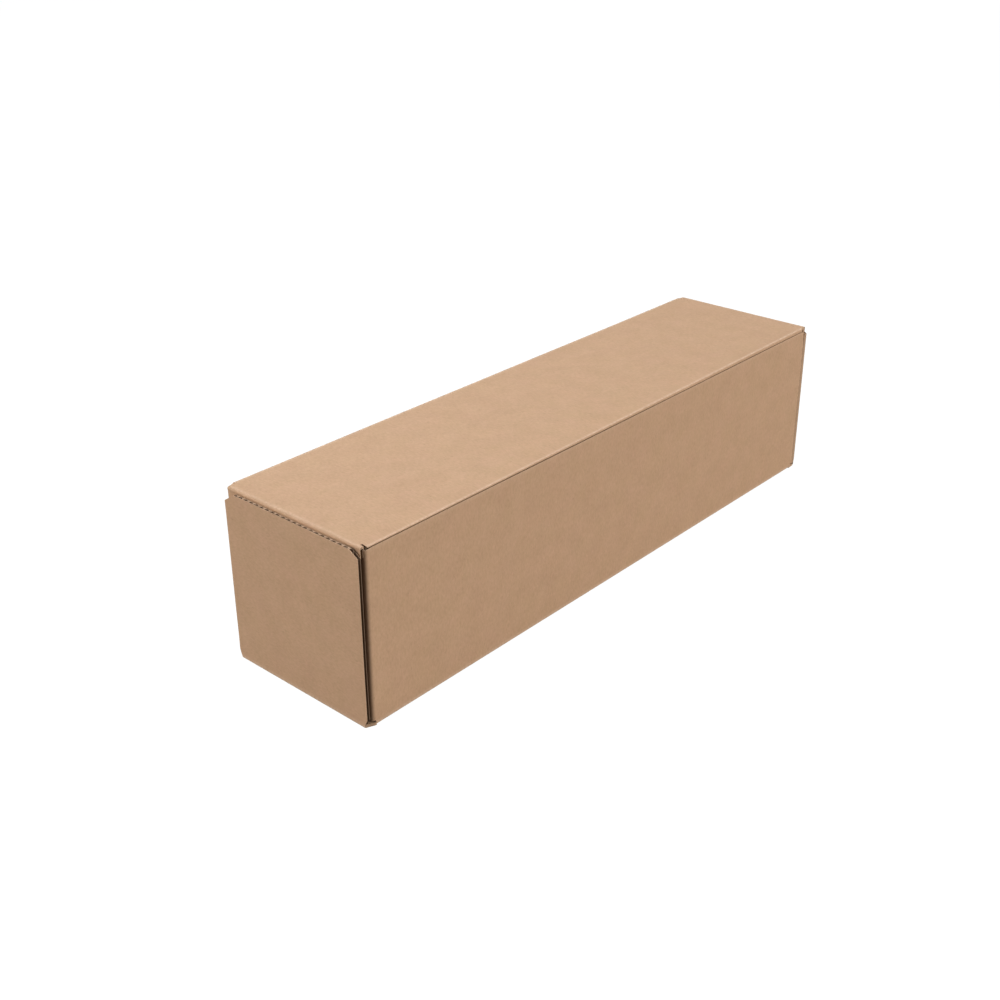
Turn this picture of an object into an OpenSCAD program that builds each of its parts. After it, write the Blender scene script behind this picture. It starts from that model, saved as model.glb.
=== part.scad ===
// Long mailing box, cut and folded from one sheet of fluted board.
// The tray is the bottom, the front and back walls and their dust flaps. The lid hinges on the
// back wall, and its front and end flaps tuck in. An outer flap closes each end.
// The flutes run along the box, so each upright end flap shows them at its top edge.
// The long axis is X, the front wall faces -Y, and the box stands on Z = 0.

/* [Box] */
// Clear length between the dust flaps of the two ends
inner_len = 324; // [200:1:500]
// Clear width between the front and back walls
inner_w = 79; // [60:1:140]
// Clear height between the bottom and the lid
inner_h = 81; // [60:1:140]

/* [Board] */
// Thickness of the fluted board
board_t = 1.6; // [1.3:0.1:2.4]
// Thickness of each flat liner
liner_t = 0.25; // [0.15:0.05:0.35]
// Thickness of the wavy medium between the liners
medium_t = 0.2; // [0.1:0.05:0.3]
// Distance from one flute to the next
flute_pitch = 3.4; // [2.4:0.1:6]

/* [Folds] */
// Outer radius of the long folds, the lid's folds and the end flaps' folds, where the board is crushed
fold_r = 1; // [0.6:0.1:1.2]
// Inner radius of the upright folds between a wall and its dust flaps
corner_in = 0.3; // [0.2:0.1:1]
// Width of the cuts that part neighbouring flaps at the lid's corners
relief_w = 0.9; // [0.5:0.1:2]

/* [Flaps] */
// Gap between the facing edges of two dust flaps
dust_gap = 7; // [4:1:20]
// Height of the cut-out under each dust flap, above the bottom
dust_lift = 0.8; // [0.4:0.1:2]
// How far a dust flap narrows at its top and bottom towards its free edge
dust_taper = 2; // [0.5:0.5:6]
// Depth of the tuck flap on the lid's front
tuck_depth = 25; // [15:1:40]
// How far each end of the tuck flap narrows towards its free edge
tuck_taper = 6; // [2:1:12]
// Depth of the tuck flaps on the lid's ends
end_tuck_depth = 34; // [20:1:50]
// Height below the fold over which those flaps keep the lid's full width
end_tuck_neck = 4.5; // [2:0.5:8]
// How far their sides then stand back
end_tuck_step = 8; // [4:0.5:12]
// How far they narrow further towards their free edge
end_tuck_taper = 4; // [1:0.5:10]
// Width of the cut at the front top corner of an outer end flap
front_cut_w = 4.5; // [1:0.5:8]
// Height of that cut
front_cut_h = 2.8; // [1:0.2:8]
// Width of the cut at its back top corner
back_cut_w = 6.5; // [1:0.5:10]
// Height of that cut
back_cut_h = 4.2; // [1:0.2:8]

/* [Clearances] */
// Play between boards that slide past each other
slip = 0.25; // [0.15:0.05:0.5]
// Open line between the lid's underside and the raw top edge of the front wall
front_gap = 0.8; // [0.5:0.1:2]
// How far the lid's front fold and end flaps stay inside the planes of the front and back walls
side_inset = 0.4; // [0.2:0.1:1]
// Room left in front of the tuck flap when the lid swings
swing_room = 1; // [0.5:0.1:3]

/* [Hidden] */
$fn = 48;
board_colour = [0.74, 0.58, 0.45];
lid_colour = [0.80, 0.65, 0.52];

// Outer radius of the upright folds
corner_r = corner_in + board_t;

// Layers at each end, from the inside out: dust flaps, the lid's end flap, the outer end flap
inner_x = inner_len / 2;
dust_out_x = inner_x + board_t;
lid_end_in_x = dust_out_x + slip;
lid_end_x = lid_end_in_x + board_t;
flap_in_x = lid_end_x + slip;
half_len = flap_in_x + board_t;

// Front and back walls, and the lid's tuck flap just behind the front wall
inner_y = inner_w / 2;
half_w = inner_y + board_t;
lid_front_y = -(inner_y - slip);
lid_half_w = half_w - side_inset;

// Heights
lid_under_z = board_t + inner_h;
top_z = lid_under_z + board_t;
wall_top_z = lid_under_z - front_gap;
dust_low_z = board_t + dust_lift;
heel_z = fold_r + board_t;

// The walls run straight up to the upright folds, and the lid's long folds stop short of those
corner_x = dust_out_x - corner_r;
fold_end_x = corner_x - slip;
relief_y = half_w - fold_r - board_t;

// The tuck flap leans back by what its tip needs to swing past the front wall
swing_r = half_w - lid_front_y;
tuck_lean = swing_r - sqrt(swing_r * swing_r - tuck_depth * tuck_depth) + swing_room;

// Half height of the medium's wave, and how near its crest a hollow starts, in degrees
wave_h = (board_t - 2 * liner_t - medium_t) / 2;
crest_bond = 20;
wave_steps = 8;
groove_depth = 0.8;
cut_over = 1;

// A fold seen end-on: the sector of a ring between two angles, or of a full circle
module fold_arc(outer_r, inner_r, from_angle, to_angle) {
    reach = 2 * outer_r;
    middle = (from_angle + to_angle) / 2;
    intersection() {
        difference() {
            circle(outer_r);
            if (inner_r > 0) circle(inner_r);
        }
        polygon([[0, 0], reach * [cos(from_angle), sin(from_angle)],
                 reach * [cos(middle), sin(middle)], reach * [cos(to_angle), sin(to_angle)]]);
    }
}

// Runs a section drawn in Y and Z along X
module along_x(from_x, to_x) {
    translate([from_x, 0, 0]) rotate([90, 0, 90]) linear_extrude(to_x - from_x) children();
}

// Runs a section drawn in X and Z along Y, centred
module along_y(width) {
    translate([0, width / 2, 0]) rotate([90, 0, 0]) linear_extrude(width) children();
}

// Repeats a shape made for the far end or the back on both sides
module both_ends() {
    children();
    mirror([1, 0, 0]) children();
}

// Bottom, front wall and back wall, without the hinge fold at the back
module tray_section() {
    translate([fold_r - half_w, 0]) square([2 * (half_w - fold_r), board_t]);
    translate([fold_r - half_w, fold_r]) fold_arc(fold_r, 0, 180, 270);
    translate([half_w - fold_r, fold_r]) fold_arc(fold_r, 0, 270, 360);
    for (wall_y = [-half_w, inner_y])
        translate([wall_y, fold_r]) square([board_t, wall_top_z - fold_r]);
}

// The tray's half of the hinge fold, up to the mitre where the lid begins
module tray_hinge_section() {
    polygon([[inner_y, wall_top_z], [half_w, wall_top_z], [half_w, top_z - fold_r],
             [half_w - fold_r, top_z - fold_r], [inner_y, lid_under_z]]);
    translate([half_w - fold_r, top_z - fold_r]) fold_arc(fold_r, 0, 0, 45);
}

// Bottom past the walls, with its half of the fold to the outer end flap
module bottom_end() {
    along_y(2 * half_w) {
        polygon([[corner_x, 0], [half_len - fold_r, 0], [half_len - fold_r, fold_r],
                 [flap_in_x, board_t], [corner_x, board_t]]);
        translate([half_len - fold_r, fold_r]) fold_arc(fold_r, 0, 270, 315);
    }
}

// Upright fold and dust flap at the end of the back wall
module dust_flap() {
    translate([corner_x, half_w - corner_r, dust_low_z])
        linear_extrude(wall_top_z - dust_low_z) fold_arc(corner_r, corner_in, 0, 90);
    along_x(inner_x, dust_out_x)
        polygon([[half_w - corner_r, dust_low_z], [half_w - corner_r, wall_top_z],
                 [dust_gap / 2, wall_top_z - dust_taper], [dust_gap / 2, dust_low_z + dust_taper]]);
}

// Open flutes along the raw top edge of the front wall
module front_edge_groove() {
    along_x(-corner_x, corner_x)
        translate([liner_t - half_w, wall_top_z - groove_depth])
            square([board_t - 2 * liner_t, groove_depth + cut_over]);
}

module tray() {
    color(board_colour) difference() {
        union() {
            along_x(-corner_x, corner_x) tray_section();
            along_x(-fold_end_x, fold_end_x) tray_hinge_section();
            both_ends() {
                bottom_end();
                dust_flap();
                mirror([0, 1, 0]) dust_flap();
            }
        }
        front_edge_groove();
    }
}

// Lid panel with its half of the hinge fold at the back. At the front its round nose of crushed
// board rests over the front wall, and the tuck flap goes down behind that wall.
module lid_section() {
    nose_r = board_t / 2;
    nose_y = nose_r - lid_half_w;
    middle_z = lid_under_z + nose_r;
    tip_z = lid_under_z - tuck_depth;
    polygon([[nose_y, lid_under_z], [inner_y, lid_under_z], [half_w - fold_r, top_z - fold_r],
             [half_w - fold_r, top_z], [nose_y, top_z]]);
    translate([half_w - fold_r, top_z - fold_r]) fold_arc(fold_r, 0, 45, 90);
    translate([nose_y, middle_z]) fold_arc(nose_r, 0, 90, 270);
    polygon([[lid_front_y, middle_z], [lid_front_y + board_t, middle_z],
             [lid_front_y + board_t, lid_under_z], [lid_front_y + board_t + tuck_lean, tip_z],
             [lid_front_y + tuck_lean, tip_z], [lid_front_y, lid_under_z]]);
}

// Outline of the tuck flap seen from the front, wide open above the fold
module tuck_outline() {
    tip_z = lid_under_z - tuck_depth;
    tip_x = fold_end_x - tuck_taper;
    polygon([[-fold_end_x, top_z + cut_over], [fold_end_x, top_z + cut_over], [fold_end_x, lid_under_z],
             [tip_x, tip_z], [tip_x, tip_z - cut_over], [-tip_x, tip_z - cut_over], [-tip_x, tip_z],
             [-fold_end_x, lid_under_z]]);
}

// Strip of the lid past the long folds, parted from them by a cut at each corner
module lid_end_strip() {
    strip_x = fold_end_x + relief_w;
    translate([0, 0, lid_under_z]) linear_extrude(board_t)
        polygon([[fold_end_x, -relief_y], [strip_x, -relief_y], [strip_x, -lid_half_w],
                 [lid_end_x - fold_r, -lid_half_w], [lid_end_x - fold_r, lid_half_w],
                 [strip_x, lid_half_w], [strip_x, relief_y], [fold_end_x, relief_y]]);
    along_y(2 * lid_half_w) translate([lid_end_x - fold_r, top_z - fold_r]) fold_arc(fold_r, 0, 0, 90);
}

// Tuck flap that hangs from the end strip, between the dust flaps and the outer end flap
module lid_end_flap() {
    fold_z = top_z - fold_r;
    neck_z = fold_z - end_tuck_neck;
    step_y = lid_half_w - end_tuck_step;
    tip_y = step_y - end_tuck_taper;
    tip_z = fold_z - end_tuck_depth;
    along_x(lid_end_in_x, lid_end_x)
        polygon([[-lid_half_w, fold_z], [-lid_half_w, neck_z], [-step_y, neck_z - board_t], [-tip_y, tip_z],
                 [tip_y, tip_z], [step_y, neck_z - board_t], [lid_half_w, neck_z], [lid_half_w, fold_z]]);
}

module lid() {
    color(lid_colour) {
        intersection() {
            along_x(-fold_end_x, fold_end_x) lid_section();
            along_y(4 * half_w) tuck_outline();
        }
        both_ends() {
            lid_end_strip();
            lid_end_flap();
        }
    }
}

// Hollow between a liner and the wave of the medium, from one crest to the next.
// side is 1 for the hollow under the outer liner and -1 for the one under the inner liner.
module flute_hollow(side) {
    liner_face = board_t / 2 - liner_t;
    span = 360 - 2 * crest_bond;
    function wave_point(angle) =
        [side * (wave_h * cos(angle) + medium_t / 2), (angle / 360 - 0.5) * flute_pitch];
    first = wave_point(crest_bond);
    last = wave_point(crest_bond + span);
    polygon([[side * liner_face, first[1]],
             for (step = [0 : wave_steps]) wave_point(crest_bond + span * step / wave_steps),
             [side * liner_face, last[1]]]);
}

// Row of flutes across an end flap, seen from above, and the open flute at each side edge
module flute_row() {
    edge_y = half_w - groove_depth - liner_t;
    flutes = floor((edge_y - flute_pitch / 2) / flute_pitch);
    for (number = [-flutes : flutes]) {
        translate([0, number * flute_pitch]) flute_hollow(1);
        if (number < flutes) translate([0, (number + 0.5) * flute_pitch]) flute_hollow(-1);
    }
    for (side = [-1, 1])
        translate([liner_t - board_t / 2, side > 0 ? half_w - groove_depth : -half_w - cut_over])
            square([board_t - 2 * liner_t, groove_depth + cut_over]);
}

// Outer end flap at the far end, from its half of the bottom fold up to the lid's underside
module end_flap() {
    difference() {
        union() {
            along_y(2 * half_w) {
                polygon([[half_len - fold_r, fold_r], [half_len, fold_r], [half_len, heel_z],
                         [flap_in_x, heel_z], [flap_in_x, board_t]]);
                translate([half_len - fold_r, fold_r]) fold_arc(fold_r, 0, 315, 360);
            }
            along_x(flap_in_x, half_len)
                polygon([[-half_w, heel_z], [half_w, heel_z], [half_w, lid_under_z - back_cut_h],
                         [half_w - back_cut_w, lid_under_z], [front_cut_w - half_w, lid_under_z],
                         [-half_w, lid_under_z - front_cut_h]]);
        }
        translate([half_len - board_t / 2, 0, heel_z])
            linear_extrude(lid_under_z - heel_z + cut_over) flute_row();
    }
}

module near_end_flap() {
    color(board_colour) mirror([1, 0, 0]) end_flap();
}

module far_end_flap() {
    color(board_colour) end_flap();
}

tray();
lid();
near_end_flap();
far_end_flap();
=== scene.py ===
# %% [markdown]
# # A long mailing box of kraft board
#
# The real box is one sheet of fluted board, cut flat, creased and folded. Three papers make the
# board: a flat liner outside, a flat liner inside, and a wavy medium between them. A plain box
# primitive would lose everything that tells you this is cardboard, which is at its folds and at
# its cut edges. So this lesson follows the box maker: it cuts the papers flat, then folds them.
#
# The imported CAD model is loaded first. It is the fixed frame that every piece is built on.

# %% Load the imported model
import math
import bmesh
import bpy
from mathutils import Matrix, Quaternion, Vector, noise


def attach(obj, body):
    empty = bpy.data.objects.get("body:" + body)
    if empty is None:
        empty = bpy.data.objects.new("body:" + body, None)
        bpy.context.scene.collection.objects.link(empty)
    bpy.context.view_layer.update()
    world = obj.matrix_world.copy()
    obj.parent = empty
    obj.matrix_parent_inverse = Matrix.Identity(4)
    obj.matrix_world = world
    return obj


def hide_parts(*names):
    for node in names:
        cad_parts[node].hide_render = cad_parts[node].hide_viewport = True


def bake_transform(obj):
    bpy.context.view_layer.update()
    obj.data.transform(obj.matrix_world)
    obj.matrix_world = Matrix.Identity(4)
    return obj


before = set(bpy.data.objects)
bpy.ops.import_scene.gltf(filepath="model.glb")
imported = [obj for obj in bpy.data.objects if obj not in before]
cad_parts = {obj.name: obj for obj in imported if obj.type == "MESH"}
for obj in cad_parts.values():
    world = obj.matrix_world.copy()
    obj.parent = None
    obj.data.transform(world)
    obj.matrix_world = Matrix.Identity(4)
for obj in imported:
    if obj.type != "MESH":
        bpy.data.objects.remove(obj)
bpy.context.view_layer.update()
scene = bpy.context.scene
scene.view_settings.view_transform = "Standard"
print("nodes:", sorted(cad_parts))

# %% [markdown]
# ## The camera
#
# The box was photographed from above its near front corner. The camera's place, aim, lens and a
# slight roll were worked out from the corners of the box. Guessing by eye would also get close,
# but the corners of a box give the view exactly, because its edges are straight and square.

# %% Place the camera
CAMERA_PLACE = Vector((-0.45467, -0.37312, 0.32398))
CAMERA_AIM = Vector((-0.03850, 0.00110, 0.04200))
CAMERA_ROLL = math.radians(-0.504)

camera_data = bpy.data.cameras.new("camera")
camera_data.sensor_width = 36
camera_data.lens = 47.33
camera_data.clip_start = 0.01
camera = bpy.data.objects.new("camera", camera_data)
camera.location = CAMERA_PLACE
aim = (CAMERA_AIM - CAMERA_PLACE).to_track_quat("-Z", "Y")
camera.rotation_euler = (aim @ Quaternion((0, 0, 1), CAMERA_ROLL)).to_euler()
scene.collection.objects.link(camera)
scene.camera = camera
print("camera distance:", round((CAMERA_AIM - CAMERA_PLACE).length, 3), "m")

# %% [markdown]
# ## Small helpers for node trees
#
# Materials are built from nodes in code. Clicking them together by hand would also do, but code can
# be read and run again. Three helpers keep it short: one adds a node and sets its inputs by name,
# or by number as in _0, one starts a node group with named sockets, and one puts a group to use.

# %% Helpers for nodes
def add_node(tree, kind, settings=None, **inputs):
    node = tree.nodes.new(kind)
    for name, value in (settings or {}).items():
        setattr(node, name, value)
    for name, value in inputs.items():
        number = name[1:]
        socket = node.inputs[int(number) if number.isdigit() else name.replace("_", " ")]
        if isinstance(value, bpy.types.NodeSocket):
            tree.links.new(value, socket)
        else:
            socket.default_value = value
    return node


def start_group(name, inputs, outputs):
    group = bpy.data.node_groups.new(name, "ShaderNodeTree")
    for label, kind in inputs:
        group.interface.new_socket(label, in_out="INPUT", socket_type=kind)
    for label, kind in outputs:
        group.interface.new_socket(label, in_out="OUTPUT", socket_type=kind)
    return group, group.nodes.new("NodeGroupInput").outputs, group.nodes.new("NodeGroupOutput").inputs


def use_group(tree, group, **inputs):
    return add_node(tree, "ShaderNodeGroup", {"node_tree": group}, **inputs).outputs


print("node helpers ready")

# %% [markdown]
# ## The grain of kraft paper
#
# Kraft paper is brown wood pulp. Close up it has long fibres that lie along the direction in which
# the paper ran through the mill, soft clouds where the pulp is thicker, and a few dark flecks.
# A photo texture could show this, but noise does it at any size. The noise reads the place on the
# flat blank, in millimetres, which each piece carries as an attribute. So the grain turns with
# the paper at each fold. Every paper of the box uses this one group with its own values. The
# colours of the cloud noise come out too, as a trace of tint.

# %% Group: paper grain
FIBRE_STRETCH = (1.1, 0.5, 1.1)
FLECK_STRETCH = (1.3, 0.5, 1.3)
FLECK_LIMIT, FLECK_EDGE = 0.80, 0.06

grain, given, made = start_group(
    "Paper grain",
    [("Place", "NodeSocketVector"), ("Cloud Size", "NodeSocketFloat"),
     ("Fleck Share", "NodeSocketFloat")],
    [("Clouds", "NodeSocketFloat"), ("Tint", "NodeSocketColor"), ("Fibres", "NodeSocketFloat"),
     ("Flecks", "NodeSocketFloat")],
)
cloud_scale = add_node(grain, "ShaderNodeMath", {"operation": "DIVIDE"}, _0=1.0, _1=given["Cloud Size"])
clouds = add_node(grain, "ShaderNodeTexNoise", Vector=given["Place"], Scale=cloud_scale.outputs[0],
                  Detail=4.0, Roughness=0.6)
fibre_place = add_node(grain, "ShaderNodeVectorMath", {"operation": "MULTIPLY"}, _0=given["Place"],
                       _1=FIBRE_STRETCH)
fibres = add_node(grain, "ShaderNodeTexNoise", Vector=fibre_place.outputs[0], Scale=1.0, Detail=3.0,
                  Roughness=0.65, Distortion=0.4)
fleck_place = add_node(grain, "ShaderNodeVectorMath", {"operation": "MULTIPLY"}, _0=given["Place"],
                       _1=FLECK_STRETCH)
fleck_noise = add_node(grain, "ShaderNodeTexNoise", Vector=fleck_place.outputs[0], Scale=1.0,
                       Detail=1.0)
fleck_low = add_node(grain, "ShaderNodeMath", {"operation": "SUBTRACT"}, _0=FLECK_LIMIT,
                     _1=given["Fleck Share"])
fleck_high = add_node(grain, "ShaderNodeMath", {"operation": "ADD"}, _0=fleck_low.outputs[0],
                      _1=FLECK_EDGE)
flecks = add_node(grain, "ShaderNodeMapRange", _0=fleck_noise.outputs[0], _1=fleck_low.outputs[0],
                  _2=fleck_high.outputs[0])
grain.links.new(clouds.outputs[0], made["Clouds"])
grain.links.new(clouds.outputs["Color"], made["Tint"])
grain.links.new(fibres.outputs[0], made["Fibres"])
grain.links.new(flecks.outputs[0], made["Flecks"])
print("group:", grain.name, len(grain.nodes), "nodes")

# %% [markdown]
# ## The flutes that show through, and the paler folds
#
# The glue lines of the medium pull the liners in very slightly, so raking light finds faint ridges
# along the box. And where board is folded, the outer liner stretches, scuffs and turns paler, in
# short broken dashes and not in a clean line; on the lid's nose and end folds and the front wall's
# top edge this paler band is also a painted highlight. Both are groups: the first makes a ridge
# height from the place across the flutes, and the second breaks up each piece's fold attribute
# with noise. Below zero that attribute is painted shade deep in a crease, which the papers read by
# themselves.

# %% Groups: flute print and fold wear with painted highlight
PITCH = 3.4

ridges, given, made = start_group(
    "Flute print", [("Place", "NodeSocketVector")], [("Ridge", "NodeSocketFloat")])
across = add_node(ridges, "ShaderNodeSeparateXYZ", Vector=given["Place"])
turns = add_node(ridges, "ShaderNodeMath", {"operation": "MULTIPLY"}, _0=across.outputs["Y"],
                 _1=2 * math.pi / PITCH)
ridge = add_node(ridges, "ShaderNodeMath", {"operation": "SINE"}, _0=turns.outputs[0])
ridges.links.new(ridge.outputs[0], made["Ridge"])

wear_and_highlight_group, given, made = start_group(
    "Fold wear", [("Place", "NodeSocketVector"), ("Fold", "NodeSocketFloat")],
    [("Wear and highlight", "NodeSocketFloat")])
wear_and_highlight_noise = add_node(wear_and_highlight_group, "ShaderNodeTexNoise", Vector=given["Place"], Scale=0.9, Detail=4.0,
                       Roughness=0.7)
wear_and_highlight_break = add_node(wear_and_highlight_group, "ShaderNodeMapRange", _0=wear_and_highlight_noise.outputs[0], _1=0.35, _2=0.62,
                       _3=0.2, _4=1.0)
wear_and_highlight = add_node(wear_and_highlight_group, "ShaderNodeMath", {"operation": "MULTIPLY"}, _0=given["Fold"],
                _1=wear_and_highlight_break.outputs[0])
wear_and_highlight_group.links.new(wear_and_highlight.outputs[0], made["Wear and highlight"])
print("groups:", ridges.name, "and", wear_and_highlight_group.name)

# %% [markdown]
# ## The papers
#
# All papers are the same kind of thing, so one function makes their materials from the groups:
# two close browns blended by the clouds and fibres, a trace of tint, darker flecks, paler folds
# that are partly wear and partly painted highlight, painted shade deep in a crease, and a matt
# surface whose roughness and bump follow the fibres. The outer liner is pale and clean. The inner
# liner is clearly darker and the medium is the darkest, partly as their own colour and partly as
# painted shade for the slits and hollows they line. The cut edges are as pale as the outer liner,
# and rougher.

# %% Make the papers
FLECK_BROWN = (0.30, 0.17, 0.09, 1)
# The colour that painted shade in deep creases and slits darkens towards.
PAINTED_SHADE_BROWN = (0.10, 0.068, 0.045, 1)
FIBRE_WEIGHT, TINT_WEIGHT, FLECK_WEIGHT = 0.68, 0.03, 0.22
ROUGH_SPREAD = 0.07


def paper_material(name, pale, deep, wear_and_painted_light, fleck_share, cloud_size, rough, bump_mm, ridge_mm):
    material = bpy.data.materials.new(name)
    material.use_nodes = True
    tree = material.node_tree
    skin = tree.nodes["Principled BSDF"]
    place = add_node(tree, "ShaderNodeAttribute", {"attribute_name": "blank"}).outputs["Vector"]
    fold = add_node(tree, "ShaderNodeAttribute", {"attribute_name": "fold"}).outputs["Fac"]
    grain_out = use_group(tree, grain, Place=place, Cloud_Size=cloud_size, Fleck_Share=fleck_share)
    ridge_out = use_group(tree, ridges, Place=place)
    wear_and_highlight_out = use_group(tree, wear_and_highlight_group, Place=place, Fold=fold)
    tone = add_node(tree, "ShaderNodeMix", {"data_type": "FLOAT"}, _0=FIBRE_WEIGHT,
                    _2=grain_out["Clouds"], _3=grain_out["Fibres"])
    spread = add_node(tree, "ShaderNodeMapRange", _0=tone.outputs[0], _1=0.34, _2=0.66)
    brown = add_node(tree, "ShaderNodeMix", {"data_type": "RGBA"}, _0=spread.outputs[0],
                     _6=deep, _7=pale)
    tinted = add_node(tree, "ShaderNodeMix", {"data_type": "RGBA", "blend_type": "OVERLAY"},
                      _0=TINT_WEIGHT, _6=brown.outputs[2], _7=grain_out["Tint"])
    fleck_dark = add_node(tree, "ShaderNodeMath", {"operation": "MULTIPLY"}, _0=grain_out["Flecks"],
                          _1=FLECK_WEIGHT)
    flecked = add_node(tree, "ShaderNodeMix", {"data_type": "RGBA"}, _0=fleck_dark.outputs[0],
                       _6=tinted.outputs[2], _7=FLECK_BROWN)
    # Paler folds: partly wear and partly a painted highlight.
    wear_and_highlight_mix = add_node(tree, "ShaderNodeMix", {"data_type": "RGBA"}, _0=wear_and_highlight_out["Wear and highlight"],
                       _6=flecked.outputs[2], _7=wear_and_painted_light)
    # Below zero the fold attribute darkens the paper as painted shade in deep creases and slits.
    painted_shade = add_node(tree, "ShaderNodeMapRange", _0=fold, _1=0.0, _2=-1.0)
    painted_shade_mix = add_node(tree, "ShaderNodeMix", {"data_type": "RGBA"}, _0=painted_shade.outputs[0],
                      _6=wear_and_highlight_mix.outputs[2], _7=PAINTED_SHADE_BROWN)
    tree.links.new(painted_shade_mix.outputs[2], skin.inputs["Base Color"])
    matt = add_node(tree, "ShaderNodeMapRange", _0=grain_out["Fibres"], _1=0.3, _2=0.7,
                    _3=rough - ROUGH_SPREAD, _4=rough + ROUGH_SPREAD)
    tree.links.new(matt.outputs[0], skin.inputs["Roughness"])
    ridge_height = add_node(tree, "ShaderNodeMath", {"operation": "MULTIPLY"}, _0=ridge_out["Ridge"],
                            _1=ridge_mm / bump_mm)
    height = add_node(tree, "ShaderNodeMath", {"operation": "ADD"}, _0=grain_out["Fibres"],
                      _1=ridge_height.outputs[0])
    bump = add_node(tree, "ShaderNodeBump", Height=height.outputs[0], Distance=bump_mm / 1000)
    tree.links.new(bump.outputs[0], skin.inputs["Normal"])
    skin.inputs["Specular IOR Level"].default_value = 0.15
    return material


# Each third colour is the paler fold colour: partly wear, partly a painted highlight.
PAPERS = [
    paper_material("kraft_outer_liner", (0.678, 0.432, 0.269, 1), (0.572, 0.353, 0.209, 1),
                   (0.86, 0.62, 0.440, 1), fleck_share=0.11, cloud_size=11,
                   rough=0.68, bump_mm=0.012, ridge_mm=0.004),
    # The inner liner and the medium are darker partly as their own colour and partly as painted shade
    # for the slits and hollows they line.
    paper_material("kraft_inner_liner", (0.415, 0.275, 0.178, 1), (0.355, 0.232, 0.147, 1),
                   (0.48, 0.32, 0.210, 1), fleck_share=0.10, cloud_size=13,
                   rough=0.76, bump_mm=0.016, ridge_mm=0.008),
    paper_material("fluting_medium", (0.330, 0.212, 0.132, 1), (0.255, 0.160, 0.098, 1),
                   (0.33, 0.21, 0.13, 1), fleck_share=0.12, cloud_size=8,
                   rough=0.82, bump_mm=0.018, ridge_mm=0.0),
    paper_material("cut_paper_edge", (0.680, 0.455, 0.295, 1), (0.560, 0.355, 0.218, 1),
                   (0.72, 0.50, 0.33, 1), fleck_share=0.05, cloud_size=6,
                   rough=0.85, bump_mm=0.020, ridge_mm=0.0),
]
OUTER, INNER, FLUTES, CUT = range(4)
print("papers:", [paper.name for paper in PAPERS])

# %% [markdown]
# ## Two kinds of crease
#
# A creasing rule crushes the board along a line before it is folded. On a crushed fold the inner
# liner turns sharply, and the outer liner goes round it with a radius smaller than the board is
# thick. The upright corners are softer: there the board bends as a ring does, and a power below one
# squares that ring off. Each function bends any point of a flat strip, given how far along the
# strip it is and how high above the board's middle. A bend modifier would do for one fold, but
# folds nest here, and functions can be nested. Every fold is scored in steps, from a margin before
# it to a margin past it.

# %% Bend a strip of board
BOARD, LINER, MEDIUM = 1.6, 0.25, 0.2
FOLD_OUT, FOLD_IN, CORNER_IN = 1.0, 0.15, 0.3
FOLD_T = BOARD + FOLD_IN
RIGHT = math.pi / 2
FOLD_LENGTH, FOLD_MARGIN = 2.2, 1.3
CORNER_LENGTH = (CORNER_IN + BOARD / 2) * RIGHT


def crushed_fold(along, height, start):
    run = along - start
    if run <= 0:
        return along, height
    angle = min(run / FOLD_LENGTH, 1) * RIGHT
    rest = max(run - FOLD_LENGTH, 0)
    across, up = math.sin(angle), math.cos(angle)
    flat = FOLD_T - FOLD_OUT
    if FOLD_T * across <= flat * up:
        outer = FOLD_T / up
    elif FOLD_T * up <= flat * across:
        outer = FOLD_T / across
    else:
        outer = flat * (across + up) + math.sqrt(FOLD_OUT ** 2 - (flat * (across - up)) ** 2)
    radius = FOLD_IN + (height / BOARD + 0.5) * (outer - FOLD_IN)
    return start + radius * across, radius * up - BOARD / 2 - FOLD_IN - rest


def ring_fold(along, height, start, power=1.0):
    middle = CORNER_IN + BOARD / 2
    run = along - start
    if run <= 0:
        return along, height
    angle = min(run / middle, RIGHT)
    rest = max(run - middle * RIGHT, 0)
    radius = middle + height
    return (start + radius * math.sin(angle) ** power,
            radius * max(math.cos(angle), 0) ** power - middle - rest)


def fold_lines(start, length, steps):
    lines = [start + length * step / steps for step in range(steps + 1)]
    return [start - FOLD_MARGIN] + lines + [lines[-1] + FOLD_MARGIN]


print("a crushed fold takes", FOLD_LENGTH, "mm of board")
print("an upright fold takes", round(CORNER_LENGTH, 2), "mm of board")

# %% [markdown]
# ## Where the folds lie on the flat blank
#
# These are the CAD model's own sizes, in millimetres. The bottom is at the centre of the blank.
# The walls, the lid and the end flaps lie round it, and each fold uses up a little board, so the
# landmarks are found by adding up flat lengths from the middle outwards. They could be typed in as
# numbers, but then a changed fold would leave them behind.

# %% Landmarks of the blank
HALF_LEN, HALF_W, TOP = 167.3, 41.1, 84.2
LID_UNDER, WALL_TOP = 82.6, 81.8
CORNER_X, LID_FOLD_END = 161.7, 161.45
LID_FRONT, LID_HALF_W, LID_END = 39.25, 40.7, 165.45
SLIT = 0.35

WALL_START = HALF_W - FOLD_T
WALL_MIDDLE = WALL_START + FOLD_LENGTH / 2
WALL_FOOT = WALL_START + FOLD_LENGTH
WALL_EDGE = WALL_FOOT + WALL_TOP - FOLD_T
HINGE_START = WALL_FOOT + TOP - 2 * FOLD_T
HINGE_MIDDLE = HINGE_START + FOLD_LENGTH / 2
END_START = HALF_LEN - FOLD_T
END_MIDDLE = END_START + FOLD_LENGTH / 2
END_FOOT = END_START + FOLD_LENGTH
END_EDGE = END_FOOT + LID_UNDER - FOLD_T
print("bottom with its end flaps:", round(2 * END_EDGE, 1), "mm flat")
print("both walls with the bottom:", round(WALL_EDGE + HINGE_START, 1), "mm flat")

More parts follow.
